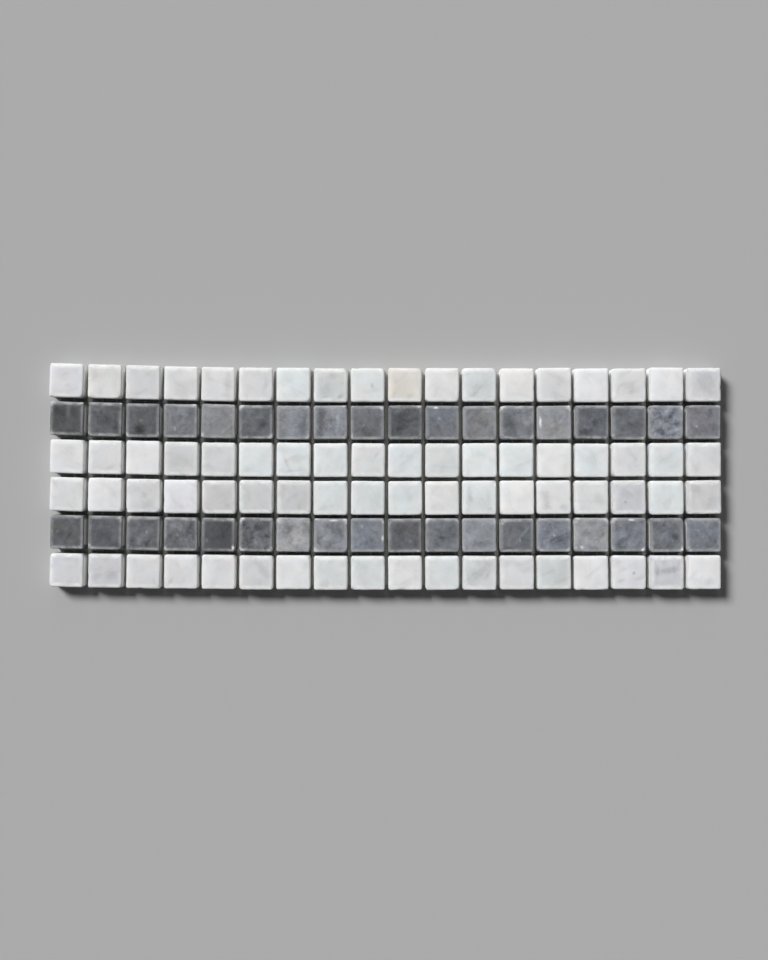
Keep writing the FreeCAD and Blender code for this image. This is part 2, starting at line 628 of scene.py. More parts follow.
def tinted(finish, drift, colour, warmth):
    """The row's stone, which leans the tile's own way by more where the drift is strong."""
    stone = leaning(finish, colour, warmth)
    amount = drift * (1.0 - TINT_LEAST) + TINT_LEAST
    return finish.laid_over(amount, stone, finish.attribute("tint") * stone)


# Share of the rim on the edges across the rows; the stronger rims along the rows are partly wear and
# partly painted highlight
CROSS_EDGE_RIM_SHARE = 0.4
# Over how many millimetres of a corner that changes, and how far a worn rim wanders
CORNER_CHANGE = 0.7
RIM_WANDER = 0.9
RIM_NOISE = (0.5, 2.0, 0.5)
PATCHY_SHIFT = (31.0, 17.0, 5.0)
PATCHY_NOISE = (0.22, 3.0, 0.6)
PATCHY_FADE = (0.38, 0.62)


def worn_and_highlit_rim(finish, outer, inner, least):
    """Where tumbling has bruised the edge of a tile's face: a soft band that comes and goes,
    nowhere below its least share, and weaker across the rows, as a painted highlight along them."""
    x, y, _ = finish.parts(abs(finish.place))
    along_rows = finish.fade(y - x, -CORNER_CHANGE, CORNER_CHANGE)
    sided = CROSS_EDGE_RIM_SHARE + (1.0 - CROSS_EDGE_RIM_SHARE) * along_rows
    depth = depth_from_outline(finish)
    line = depth + finish.billows(finish.stone_place, *RIM_NOISE) * RIM_WANDER
    band = finish.fade(line, *outer) * finish.fade(line, *reversed(inner))
    clouds = finish.cloud(finish.stone_place + PATCHY_SHIFT, *PATCHY_NOISE)
    patchy = finish.fade(clouds, *PATCHY_FADE)
    return band * sided * (least + (1.0 - least) * patchy) * finish.attribute("wear", "Fac")


# Where the painted shade on the left edge starts and where it is full: millimetres to the right
# of the tile's middle, and up from its back
LEFT_SHADE_ACROSS = (-6.8, -7.4)
LEFT_SHADE_UP = (6.4, 7.2)


def painted_shade_on_left(finish, darkened):
    """How light a tile stays under the painted shade on the left edge of its face, which dims the rim
    that the lamp lights from the left.
    """
    x, _, height = finish.parts(finish.place)
    on_edge = finish.fade(x, *LEFT_SHADE_ACROSS) * finish.fade(height, *LEFT_SHADE_UP)
    return 1.0 - on_edge * darkened


# Where a corner starts, in millimetres from the tile's middle both ways, and where it is full
CORNER_REACH = (4.6, 6.4)
KNOCK_SHIFT = (7.0, 91.0, 3.0)
KNOCK_NOISE = (0.16, 2.0, 0.5)
KNOCK_FADE = (0.50, 0.62)


def bruised_corners(finish):
    """Some corners of a tile's face, where knocks have left the stone whiter."""
    x, y, _ = finish.parts(abs(finish.place))
    nearer = finish.smaller(x, y)
    knocks = finish.fade(finish.cloud(finish.stone_place + KNOCK_SHIFT, *KNOCK_NOISE), *KNOCK_FADE)
    return knocks * finish.fade(nearer, *CORNER_REACH)


# Glue creeps up this many millimetres for each step of its noise above the level, fades out over
# this many more, and hides this share of the stone
CREEP_RISE = 4.0
CREEP_LEVEL = 0.42
CREEP_EDGE = 0.5
CREEP_COVER = 0.7
CREEP_NOISE = (0.35, 3.0, 0.6)


def glue_smear(finish):
    """Glue that has crept up the foot of a tile's sides."""
    height = finish.parts(finish.place)[2]
    creep = (finish.cloud(finish.stone_place, *CREEP_NOISE) - CREEP_LEVEL) * CREEP_RISE
    return finish.fade(height - creep, CREEP_EDGE, 0.0) * CREEP_COVER


def with_joint_light(finish, stone, darkened, lightened):
    """The stone with painted shade where the joint light is above 0, and painted light in the pale
    colour below 0.
    """
    joint_shade = finish.larger(finish.joint_light, 0.0)
    joint_glow = finish.larger(0.0 - finish.joint_light, 0.0)
    joint_shaded = finish.shaded(stone, 1.0 - joint_shade * darkened)
    return finish.laid_over(joint_glow * lightened, joint_shaded, finish.colours.joint_light_colour)


def weathered(finish, stone, left_shade, joint_shade, joint_glow):
    """The stone with the tile's own marks, the painted shade on its left edge, the painted shade and
    light of the joints, and the glue that lies on it.
    """
    spotted = finish.shaded(stone, marked(finish))
    left_shaded = finish.shaded(spotted, painted_shade_on_left(finish, left_shade))
    joint_lit = with_joint_light(finish, left_shaded, joint_shade, joint_glow)
    return finish.laid_over(glue_smear(finish), joint_lit, finish.colours.glue)


# The pits' spacing is in pits per millimetre, their size a share of it, and the depth millimetres
TOOTH_NOISE = (3.2, 4.0, 0.65)
DENT_NOISE = (0.45, 2.0, 0.5)
PIT_SPACING = 1.1
PIT_SIZE = 0.34
RELIEF_DEPTH = 0.05


def stone_relief(finish, pit_share):
    """The bump of the fine tooth and the few pits of a tumbled face."""
    tooth = finish.cloud(finish.stone_place, *TOOTH_NOISE)
    dents = finish.cloud(finish.stone_place, *DENT_NOISE)
    pits = finish.specks(finish.stone_place, PIT_SPACING, PIT_SIZE, pit_share)
    return finish.bump(tooth * 0.35 + dents * 0.9 - pits * 0.8, RELIEF_DEPTH * MM)


def white_marble(colours):
    """Fine white marble with faint clouds, soft grey smears and sugar-white worn edges."""
    finish = StoneFinish("white_marble", colours)
    stone_place = finish.stone_place
    drift = finish.fade(finish.cloud(stone_place, 0.12, 2.0, 0.5, 0.3), 0.30, 0.55)
    body = tinted(finish, drift, colours.white_stone, warmth=0.010)

    swell = finish.billows(stone_place, 0.14, 3.0, 0.5, 0.4)
    fine = finish.billows(stone_place, 0.7, 3.0, 0.6)
    sugar = finish.billows(stone_place, 4.5, 2.0, 0.5)
    bedded = stone_place * (0.85, 0.35, 0.5)
    smear = finish.fade(finish.cloud(bedded, 0.34, 2.0, 0.5, 0.4), 0.50, 0.74)
    lightness = finish.shade + swell * 0.30 + fine * 0.05 + sugar * 0.03
    body = finish.shaded(body, lightness - smear * finish.mottle * 0.12)

    # The rim is bruised wear, and partly painted highlight along the rows
    rim = worn_and_highlit_rim(finish, outer=(0.0, 0.8), inner=(1.0, 2.6), least=0.4)
    worn = finish.laid_over(rim, body, colours.worn_white)
    return finish.done({
        # Painted shade on the left edge and in the row joints, painted light in the cross joints
        "Base Color": weathered(finish, worn, left_shade=0.24, joint_shade=0.6, joint_glow=1.0),
        "Roughness": 0.66 + fine * 0.25,
        "Specular IOR Level": 0.45,
        "Subsurface Weight": 0.9,
        "Subsurface Radius": (1.0, 0.95, 0.9),
        "Subsurface Scale": 3.0 * MM,
        "Normal": stone_relief(finish, pit_share=0.04),
    })


# Millimetres in from the outline where a grey tile's rim starts to be dusty or crushed, and where
# it is fully so
GREY_RIM_DUST = (2.4, 0.2)
GREY_RIM_CRUSHED = (1.9, 0.7)


def grey_marble(colours):
    """Blue-grey marble, mottled, smudged and flecked, with pale bruised edges."""
    finish = StoneFinish("grey_marble", colours)
    stone_place = finish.stone_place
    drift = finish.fade(finish.cloud(stone_place, 0.16, 2.0, 0.5, 0.5), 0.36, 0.58)
    body = tinted(finish, drift, colours.grey_stone, warmth=0.020)

    broad = finish.billows(stone_place, 0.17, 3.0, 0.5, 0.5)
    clouds = finish.billows(stone_place + (50.0, 3.0, 20.0), 0.38, 3.0, 0.5, 0.7)
    bedded = stone_place * (1.0, 0.45, 0.7)
    streaky = finish.billows(bedded, 0.60, 4.0, 0.6, 0.6)
    grain = finish.billows(stone_place, 1.6, 3.0, 0.6)
    smudge = finish.fade(finish.cloud(stone_place + (40.0, 8.0, 2.0), 0.30, 3.0, 0.5), 0.55, 0.72)
    flecks = finish.specks(stone_place, 0.42, 0.20, 0.30)
    clouding = (broad * 2.2 + clouds * 1.5 + streaky * 0.7) * finish.mottle
    lightness = 1.0 + clouding + grain * 0.30 - smudge * finish.mottle * 0.35 + flecks * 0.35
    body = finish.shaded(body, lightness * finish.shade)

    depth = depth_from_outline(finish)
    edge_dust = finish.fade(depth, *GREY_RIM_DUST) * 0.25
    dusted = finish.laid_over(edge_dust, body, colours.worn_grey)
    rim = worn_and_highlit_rim(finish, outer=(-0.3, 0.4), inner=(0.7, 1.8), least=0.15)
    worn = finish.laid_over(rim, dusted, colours.worn_grey)
    bruise = bruised_corners(finish) * finish.fade(depth, *GREY_RIM_CRUSHED)
    crushed = finish.laid_over(bruise * 0.45, worn, colours.worn_white)
    return finish.done({
        # Painted shade on the left edge and in the row joints, painted light in the cross joints
        "Base Color": weathered(finish, crushed, left_shade=0.18, joint_shade=0.5, joint_glow=0.7),
        "Roughness": 0.62 + grain * 0.3,
        "Specular IOR Level": 0.5,
        "Subsurface Weight": 0.5,
        "Subsurface Radius": (1.0, 1.0, 1.0),
        "Subsurface Scale": 1.2 * MM,
        "Normal": stone_relief(finish, pit_share=0.06),
    })


# How the threads and the soiling are drawn out along a strand
THREADS_STRETCH = (0.12, 9.0, 9.0)
SOILING_STRETCH = (0.5, 1.0, 1.0)
THREAD_BUMP = 0.05


def net_fibre(colours):
    """Glass-fibre strands: fine threads side by side, stiff with resin."""
    finish = Finish("net_fibre")
    along = finish.attribute("along")
    threads = finish.cloud(along * THREADS_STRETCH, 1.0, 3.0, 0.6)
    soiling = finish.billows(along * SOILING_STRETCH, 1.0, 2.0)
    return finish.done({
        "Base Color": finish.shaded(colours.net, 0.72 + threads * 0.4 + soiling * 0.3),
        "Roughness": 0.42 + threads * 0.2,
        "Normal": finish.bump(threads, THREAD_BUMP * MM),
    })


# Lumps to a metre, and how deep they are in millimetres
LUMPS_PER_METRE = 420.0
LUMP_BUMP = 0.15


def dried_glue(colours):
    """Milky glue that has soaked into the net."""
    finish = Finish("dried_glue")
    place = finish.node("ShaderNodeTexCoord", {}, {}, "Object")
    lumps = finish.cloud(place, LUMPS_PER_METRE, 4.0, 0.6)
    return finish.done({
        "Base Color": finish.shaded(colours.glue, 0.7 + lumps * 0.6),
        "Roughness": 0.22 + lumps * 0.3,
        "Coat Weight": 0.3,
        "Normal": finish.bump(lumps, LUMP_BUMP * MM),
    })


SHARP_ANGLE = math.radians(40)


def placed(name, data):
    """Puts a new object that holds the data in the scene."""
    made = bpy.data.objects.new(name, data)
    bpy.context.scene.collection.objects.link(made)
    return made


def object_from(shape, name, material):
    """Puts a finished bmesh in the scene."""
    mesh = bpy.data.meshes.new(name)
    shape.to_mesh(mesh)
    shape.free()
    mesh.materials.append(material)
    return placed(name, mesh)


def piece_from(shape, name, material, slot, *nodes):
    """Puts a finished bmesh in the scene as a piece of the object, in place of CAD nodes."""
    piece = object_from(shape, name, material)
    piece.data.shade_smooth()
    piece.data.set_sharp_from_angle(angle=SHARP_ANGLE)
    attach(piece, "root")
    if nodes:
        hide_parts(*nodes)


# Points closer than this are one, and an edge of the tile's back turns by more than the angle.
# A side runs along the row if it is this many times longer that way than the other
WELD = 0.001 * MM
EDGE_TURN = math.radians(45)
CLEARLY_LONGER = 2


def linked_points(start, unseen):
    """The points of the solid that a point belongs to. They are taken out of the unseen ones."""
    solid = {start}
    waiting = [start]
    while waiting:
        point = waiting.pop()
        for edge in point.link_edges:
            other = edge.other_vert(point)
            if other in unseen:
                unseen.discard(other)
                solid.add(other)
                waiting.append(other)
    return solid


def laid_tile(points):
    """Reads a tile's place, sizes and turn from the corners of its CAD solid."""
    floor_height = min(point.co.z for point in points)
    top_height = max(point.co.z for point in points)
    back = [point for point in points if point.co.z < floor_height + WELD]
    centre = sum((point.co for point in back), Vector()) / len(back)

    sides = set()
    for point in back:
        for edge in point.link_edges:
            is_round_back = all(end in back for end in edge.verts)
            if is_round_back and edge.calc_face_angle(0.0) > EDGE_TURN:
                sides.add(edge)
    runs = [edge.verts[1].co - edge.verts[0].co for edge in sides]
    lengthwise = [run for run in runs if abs(run.x) > abs(run.y) * CLEARLY_LONGER]
    longest = max(lengthwise, key=lambda run: run.length)
    turn = math.atan2(longest.y, longest.x)
    if turn > math.pi / 2:
        turn -= math.pi
    if turn < -math.pi / 2:
        turn += math.pi

    squared = Matrix.Rotation(-turn, 3, "Z")
    corners = [squared @ (point.co - centre) for point in back]
    size = Vector((
        2 * max(corner.x for corner in corners),
        2 * max(corner.y for corner in corners),
        top_height - floor_height,
    ))
    return LaidTile(centre, size, turn)


def laid_tiles(node):
    """The tiles of a CAD row, from left to right."""
    solids = bmesh.new()
    solids.from_mesh(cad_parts[node].data)
    bmesh.ops.remove_doubles(solids, verts=solids.verts, dist=WELD)
    unseen = set(solids.verts)
    tiles = []
    while unseen:
        tiles.append(laid_tile(linked_points(unseen.pop(), unseen)))
    solids.free()
    return sorted(tiles, key=lambda tile: tile.centre.x)


# How light each kind of tile is, next to its row's own shade
SHADES = (
    (BRIGHT_TILES, 1.12),
    (LIGHT_TILES, 1.06),
    (GREYED_TILES, 0.93),
    (GREYEST_TILES, 0.88),
    (DARKEST_TILES, 0.33),
    (DARK_TILES, 0.50),
    (DEEP_TILES, 0.66),
    (LOW_TILES, 0.81),
    (MUTED_TILES, 0.93),
    (FAIR_TILES, 1.16),
    (PALE_TILES, 1.32),
    (PALEST_TILES, 1.68),
)


def listed(spot, lists, otherwise):
    """What a tile gets by the first list that it is in."""
    for tiles, value in lists:
        if spot in tiles:
            return value
    return otherwise


# Millimetres of stone block that the tiles are cut from, each way from its middle
BLOCK_REACH = 400.0

# What a tile's shade, clouds and wear are drawn between
SHADE_SCATTER = (0.98, 1.02)
STRONG_MOTTLE = (1.0, 1.25)
USUAL_MOTTLE = (0.55, 0.85)
PLAINER_MOTTLE = 0.6
WEAR_SCATTER = (0.7, 1.0)


def tile_look(row, column, dice):
    """The stone of one tile: as it was seen where it stands out, and random for the rest."""
    spot = row * NUMBERS_PER_ROW + column
    shade = listed(spot, SHADES, 1.0) * dice.uniform(*SHADE_SCATTER)
    mottle = dice.uniform(*(STRONG_MOTTLE if spot in MOTTLED_TILES else USUAL_MOTTLE))
    if spot in PLAINER_TILES:
        mottle = mottle * PLAINER_MOTTLE
    wear = dice.uniform(*WEAR_SCATTER)
    marks = MARKS.get(spot, ())
    marks = marks + (NO_MARK,) * (MARKS_PER_TILE - len(marks))
    cut_at = Vector([dice.uniform(-BLOCK_REACH, BLOCK_REACH) for _ in range(3)])
    bedding = Matrix.Rotation(dice.uniform(0, math.tau), 4, "Z")
    block = Matrix.Translation(cut_at) @ bedding
    return TileLook(shade, listed(spot, TINTS, PLAIN_TINT), mottle, wear, marks, block)


CORNER_STEPS = 5
SIDE_CUTS = 9
WALL_STEPS = (0.35, 0.62, 0.84)
EASE_STEPS = 4
FACE_STEPS = (0.96, 0.88, 0.70, 0.40)


def of_type(parts, kind):
    """The points, edges or faces among the parts of a bmesh."""
    return [part for part in parts if isinstance(part, kind)]


def raised(shape, face, rise, shrink=1.0):
    """Extrudes a face upwards and shrinks it about the Z axis. Returns the face that caps it."""
    grown = bmesh.ops.extrude_face_region(shape, geom=[face])["geom"]
    bmesh.ops.delete(shape, geom=[face], context="FACES_ONLY")
    points = of_type(grown, bmesh.types.BMVert)
    bmesh.ops.translate(shape, vec=(0, 0, rise), verts=points)
    bmesh.ops.scale(shape, vec=(shrink, shrink, 1), verts=points)
    return of_type(grown, bmesh.types.BMFace)[0]


def inset(shape, face, inward, upward):
    """Insets a face and moves it outwards along its normal."""
    bmesh.ops.inset_region(
        shape,
        faces=[face],
        thickness=inward,
        depth=upward,
        use_boundary=True,
        use_even_offset=True,
    )


def tile_body(shape, size, corner_radius, face_ease, sizes):
    """Adds a tile about the Z axis, back down on z = 0, with rounded corners and edges."""
    first = len(shape.verts)
    flat = bmesh.ops.create_grid(shape, x_segments=1, y_segments=1, size=0.5)["verts"]
    bmesh.ops.scale(shape, vec=(size.x, size.y, 1), verts=flat)
    bmesh.ops.translate(shape, vec=(0, 0, sizes.back_ease), verts=flat)
    bmesh.ops.bevel(
        shape,
        geom=flat,
        offset=corner_radius,
        offset_type="OFFSET",
        segments=CORNER_STEPS,
        profile=0.5,
        affect="VERTICES",
        material=-1,
    )
    shape.verts.ensure_lookup_table()
    outline = shape.verts[first].link_faces[0]
    straights = [edge for edge in outline.edges if edge.calc_length() > size.x / 2]
    bmesh.ops.bisect_edges(shape, edges=straights, cuts=SIDE_CUTS, edge_percents={})

    grown = bmesh.ops.extrude_face_region(shape, geom=[outline], use_keep_orig=True)["geom"]
    top = of_type(grown, bmesh.types.BMFace)[0]
    wall = size.z - sizes.back_ease - face_ease - sizes.face_crown
    bmesh.ops.translate(shape, vec=(0, 0, wall * WALL_STEPS[0]), verts=top.verts[:])
    for lower, upper in zip(WALL_STEPS, (*WALL_STEPS[1:], 1.0)):
        top = raised(shape, top, wall * (upper - lower))
    for step in range(EASE_STEPS):
        start = step / EASE_STEPS * math.pi / 2
        end = (step + 1) / EASE_STEPS * math.pi / 2
        inward = face_ease * (math.cos(start) - math.cos(end))
        inset(shape, top, inward, face_ease * (math.sin(end) - math.sin(start)))
    before = 1.0
    for share in FACE_STEPS:
        rise = sizes.face_crown * (before ** 2 - share ** 2)
        top = raised(shape, top, rise, share / before)
        before = share
    peak = bmesh.ops.poke(shape, faces=[top])["verts"]
    bmesh.ops.translate(shape, vec=(0, 0, sizes.face_crown * before ** 2), verts=peak)

    bmesh.ops.reverse_faces(shape, faces=[outline])
    inset(shape, outline, sizes.back_ease, sizes.back_ease)
    shape.verts.ensure_lookup_table()
    return shape.verts[first:]


# How far in from an edge the wear reaches, in millimetres, and its share on the upright corners
WEAR_REACH = 1.2
UPRIGHT_WEAR = 0.35
RIPPLE_SCALE = 0.35
NICK_SCALE = 0.62
NICK_THRESHOLD = 0.36
NICK_GAIN = 2
# Chips in the corners: how often, their reach in millimetres, their depth as a share of it, and
# how far up the tile's axis they are driven
CHIP_CHANCE = 0.16
CHIP_REACH = (1.2, 2.2)
CHIP_DEPTH = (0.2, 0.5)
CHIP_AIM = 0.6


def wear_edges(shape, points, size, look, sizes, dice):
    """Moves a tile's points in where tumbling has rippled, nicked and chipped its edges."""
    shape.normal_update()
    chips = []
    for side_x in (-1, 1):
        for side_y in (-1, 1):
            if dice.random() < CHIP_CHANCE:
                corner = Vector((side_x * size.x / 2, side_y * size.y / 2, size.z))
                chips.append((corner, dice.uniform(*CHIP_REACH) * MM, dice.uniform(*CHIP_DEPTH)))
    aim = Vector((0, 0, size.z * CHIP_AIM))
    moves = []
    for point in points:
        inward = min(size.x / 2 - abs(point.co.x), size.y / 2 - abs(point.co.y)) / MM
        down = (size.z - point.co.z) / MM
        nearness = math.exp(-(inward ** 2 + down ** 2) / WEAR_REACH ** 2)
        upright = math.exp(-max(inward, 0.0) ** 2 / WEAR_REACH ** 2) * UPRIGHT_WEAR
        place = look.block @ (point.co / MM)
        ripple = noise.noise(place * RIPPLE_SCALE) * sizes.edge_wear
        nick = max(0.0, noise.noise(place * NICK_SCALE) - NICK_THRESHOLD) * sizes.nick_depth
        move = -point.normal * (ripple * max(nearness, upright) + nick * NICK_GAIN * nearness)
        for corner, reach, share in chips:
            gone = 1 - (point.co - corner).length / reach
            if gone > 0:
                move += (aim - corner).normalized() * gone * reach * share
        moves.append(move)
    for point, move in zip(points, moves):
        point.co += move
        point.co.z = max(point.co.z, 0.0)


# An upright corner is rounder than the face's rim by this factor, so that the rim can go round it
EASE_ROOM = 1.08
EASE_SCATTER = (0.80, 1.15)
CORNER_SCATTER = (0.80, 1.25)
TILT = math.radians(0.35)

# Millimetres down a tile's side where the painted shade and the painted light of the joints
# start and are full, and how far each comes round the corner from there
JOINT_SHADE_DOWN = (1.6, 4.0)
JOINT_LIGHT_DOWN = (0.8, 1.8)
JOINT_SHADE_CORNER = 1.5
JOINT_LIGHT_CORNER = 0.5


class Neighbours(NamedTuple):
    """Which sides of a tile have another tile beside them."""

    left: bool
    right: bool
    above: bool
    below: bool


def joint_light_amount(inward, corner, down, start, full):
    """Painted shade or light from 0 to 1 at a point this far in from a tile's side and down from its
    top.
    """
    return max(0.0, 1 - inward / corner) * min(max((down - start) / (full - start), 0.0), 1.0)


def painted_joint_light(point, size, neighbours):
    """The painted joint light at a tile's point: above 0 for painted shade that darkens the
    joints between rows, and below 0 for painted light that brightens the joints across them."""
    down = (size.z - point.co.z) / MM
    inward_x = (size.x / 2 - abs(point.co.x)) / MM
    inward_y = (size.y / 2 - abs(point.co.y)) / MM
    has_tile_along_y = neighbours.above if point.co.y > 0 else neighbours.below
    has_tile_along_x = neighbours.right if point.co.x > 0 else neighbours.left
    if has_tile_along_y:
        joint_shade = joint_light_amount(inward_y, JOINT_SHADE_CORNER, down, *JOINT_SHADE_DOWN)
        if joint_shade > 0:
            return joint_shade
    if has_tile_along_x:
        return -joint_light_amount(inward_x, JOINT_LIGHT_CORNER, down, *JOINT_LIGHT_DOWN)
    return 0.0


def add_tile(shape, laid, look, neighbours, sizes, dice):
    """Adds one worn tile to a row, with what its stone pattern needs on its points."""
    face_ease = sizes.face_ease * dice.uniform(*EASE_SCATTER)
    corner_radius = max(sizes.corner_radius * dice.uniform(*CORNER_SCATTER), face_ease * EASE_ROOM)
    points = tile_body(shape, laid.size, corner_radius, face_ease, sizes)
    vectors = shape.verts.layers.float_vector
    wear = shape.verts.layers.float["wear"]
    pattern_side = 2 * PATTERN_HALF_SIDE
    stretch = Vector((pattern_side / laid.size.x, pattern_side / laid.size.y, 1 / MM))
    for point in points:
        # The painted shade and light of the joints that this point carries
        joint_light = painted_joint_light(point, laid.size, neighbours)
        point[vectors["in_tile"]] = point.co * stretch
        point[vectors["in_block"]] = look.block @ (point.co / MM)
        point[vectors["tone"]] = (look.shade, look.mottle, joint_light)
        point[vectors["tint"]] = look.tint
        point[vectors["mark_shades"]] = [mark.shade for mark in look.marks]
        for number, mark in enumerate(look.marks):
            point[vectors[f"mark_{number}"]] = (mark.x, mark.y, math.radians(-mark.turn))
            point[vectors[f"mark_reach_{number}"]] = (mark.reach_x, mark.reach_y, 1.0)
        point[wear] = look.wear
    wear_edges(shape, points, laid.size, look, sizes, dice)

    lean = Matrix.Rotation(dice.uniform(-TILT, TILT), 4, "X")
    lean = lean @ Matrix.Rotation(dice.uniform(-TILT, TILT), 4, "Y")
    for point in points:
        height = point.co.z / laid.size.z
        point.co = point.co.lerp(lean @ point.co, height)
    place = Matrix.Translation(laid.centre) @ Matrix.Rotation(laid.turn, 4, "Z")
    bmesh.ops.transform(shape, matrix=place, verts=points)


# Each row has a seed of its own, out of this many for each seed of the sheet
SEEDS_PER_SHEET = 100


def make_row(row, stone, material, sizes):
    """Makes the tiles of one row as one piece, where the CAD row has them."""
    node = f"{stone}_tiles_row_{row}"
    dice = random.Random(sizes.seed * SEEDS_PER_SHEET + row)
    shape = bmesh.new()
    for layer in ("in_tile", "in_block", "tone", "tint", "mark_shades"):
        shape.verts.layers.float_vector.new(layer)
    for number in range(MARKS_PER_TILE):
        shape.verts.layers.float_vector.new(f"mark_{number}")
        shape.verts.layers.float_vector.new(f"mark_reach_{number}")
    shape.verts.layers.float.new("wear")
    tiles = laid_tiles(node)
    for column, laid in enumerate(tiles, start=1):
        neighbours = Neighbours(column > 1, column < len(tiles), row > 1, row < ROWS)
        add_tile(shape, laid, tile_look(row, column, dice), neighbours, sizes, dice)
    piece_from(shape, f"{stone}_marble_row_{row}", material, f"{stone}_marble", node)


class MOSAIC_OT_white_tiles(bpy.types.Operator):
    """Make the rows of white marble tiles"""

    bl_idname = "mosaic.white_tiles"
    bl_label = "White tiles"

    def execute(self, context):
        material = white_marble(context.scene.mosaic_colours)
        for row in WHITE_ROWS:
            make_row(row, "white", material, context.scene.mosaic_sizes)
        return {"FINISHED"}


class MOSAIC_OT_grey_tiles(bpy.types.Operator):
    """Make the rows of grey marble tiles"""

    bl_idname = "mosaic.grey_tiles"
    bl_label = "Grey tiles"

    def execute(self, context):
        material = grey_marble(context.scene.mosaic_colours)
        for row in GREY_ROWS:
            make_row(row, "grey", material, context.scene.mosaic_sizes)
        return {"FINISHED"}


NET_NODES = ("net_section_1", "net_section_2", "net_section_3")
STATIONS_PER_PITCH = 3
THREAD_SIDES = 8
QUARTER_TURN = Matrix.Rotation(math.pi / 2, 4, "Z")


def net_box():
    """Lowest and highest corner of the whole net."""
    boxes = [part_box(node) for node in NET_NODES]
    low = Vector([min(box[0][axis] for box in boxes) for axis in range(3)])
    high = Vector([max(box[1][axis] for box in boxes) for axis in range(3)])
    return low, high


def strand_places(middle, extent, sizes):
    """Where the net's strands lie over an extent, even about its middle."""
    count = int((extent - sizes.strand_width) / sizes.net_pitch) + 1
    return [middle + (index - (count - 1) / 2) * sizes.net_pitch for index in range(count)]


def add_thread(shape, size, pitch, route):
    """Adds a flat thread along X about zero, bent sideways and up by the route's function."""
    length, width, thickness = size
    along = shape.verts.layers.float_vector["along"]
    first = len(shape.verts)
    circle = bmesh.ops.create_circle(shape, cap_ends=True, radius=0.5, segments=THREAD_SIDES)
    ring = circle["verts"]
    stood_up = QUARTER_TURN @ Matrix.Rotation(math.pi / 2, 4, "X")
    bmesh.ops.transform(shape, matrix=stood_up, verts=ring)
    bmesh.ops.scale(shape, vec=(1, width, thickness), verts=ring)
    bmesh.ops.translate(shape, vec=(-length / 2, 0, 0), verts=ring)
    start = ring[0].link_faces[0]
    grown = bmesh.ops.extrude_face_region(shape, geom=[start], use_keep_orig=True)["geom"]
    end = of_type(grown, bmesh.types.BMVert)
    bmesh.ops.translate(shape, vec=(length, 0, 0), verts=end)
    rails = [edge for point in end for edge in point.link_edges if edge.calc_length() > length / 2]
    stations = int(length / pitch * STATIONS_PER_PITCH)
    bmesh.ops.subdivide_edges(shape, edges=rails, cuts=stations)
    shape.verts.ensure_lookup_table()
    points = shape.verts[first:]
    for point in points:
        point[along] = point.co / MM
        sideways, up, swell = route(point.co.x)
        point.co.y = point.co.y * swell + sideways
        point.co.z = point.co.z + up
    return points


def wander(along, every, phase, layer):
    """A smooth value about 0 that changes over so many millimetres along a thread."""
    return noise.noise(Vector((along / (every * MM), phase, layer)))


# The two threads of a long strand: width and thickness as shares of the strand's, and how far
# they twist to the sides, twist up and stray, in millimetres
THREAD_WIDTH = 0.5
THREAD_THICKNESS = 0.7
TWIST_ASIDE = 0.24
TWIST_UP = 0.02
THREAD_STRAY = 0.12
THREAD_STRAY_EVERY = 9


def add_long_strand(shape, place, length, sizes, phase):
    """Adds two threads along the rows that twist round each other."""
    size = (length, sizes.strand_width * THREAD_WIDTH, sizes.strand_thickness * THREAD_THICKNESS)
    for side in (-1, 1):
        def route(x, side=side):
            turn = math.pi * x / sizes.net_pitch
            slack = wander(x, THREAD_STRAY_EVERY, phase, side) * THREAD_STRAY
            sideways = side * math.cos(turn) * TWIST_ASIDE + slack
            return sideways * MM, side * math.sin(turn) * TWIST_UP * MM, 1.0
        points = add_thread(shape, size, sizes.net_pitch, route)
        bmesh.ops.translate(shape, vec=place, verts=points)


class Waver(NamedTuple):
    """How a strand across the rows strays to the sides (millimetres), how wide it is next to its
    nominal width and how much that varies, and over how many millimetres each changes."""

    stray: float
    stray_every: float
    width: float
    swell: float
    swell_every: float


STRAND_WAVER = Waver(0.10, 11, 0.92, 0.14, 3)
GLUE_WAVER = Waver(0.3, 14, 1.0, 0.25, 6)
STRAY_LAYER = 0
SWELL_LAYER = 7


def add_cross_strand(shape, place, size, pitch, waver, phase):
    """Adds a flat strand across the rows, with its middle at the place."""
    def route(along):
        slack = wander(along, waver.stray_every, phase, STRAY_LAYER) * waver.stray
        swell = waver.width + wander(along, waver.swell_every, phase, SWELL_LAYER) * waver.swell
        return slack * MM, 0.0, swell
    points = add_thread(shape, size, pitch, route)
    bmesh.ops.transform(shape, matrix=Matrix.Translation(place) @ QUARTER_TURN, verts=points)


CROSS_THICKNESS = 0.9
NET_PHASES = 100


class MOSAIC_OT_net(bpy.types.Operator):
    """Make the glass-fibre net that holds the tiles together"""

    bl_idname = "mosaic.net"
    bl_label = "Net"

    def execute(self, context):
        sizes = context.scene.mosaic_sizes
        dice = random.Random(sizes.seed)
        low, high = net_box()
        middle = (low + high) / 2
        length, width = high.x - low.x, high.y - low.y
        shape = bmesh.new()
        shape.verts.layers.float_vector.new("along")

        for y in strand_places(middle.y, width, sizes):
            place = (middle.x, y, low.z + sizes.strand_thickness / 2)
            add_long_strand(shape, place, length, sizes, dice.uniform(0, NET_PHASES))
        cross_size = (width, sizes.strand_width, sizes.strand_thickness * CROSS_THICKNESS)
        for x in strand_places(middle.x, length, sizes):
            place = Vector((x, middle.y, high.z - sizes.strand_thickness / 2))
            phase = dice.uniform(0, NET_PHASES)
            add_cross_strand(shape, place, cross_size, sizes.net_pitch, STRAND_WAVER, phase)

        bmesh.ops.recalc_face_normals(shape, faces=shape.faces)
        material = net_fibre(context.scene.mosaic_colours)
        piece_from(shape, "glass_fibre_net", material, "net", *NET_NODES)
        return {"FINISHED"}


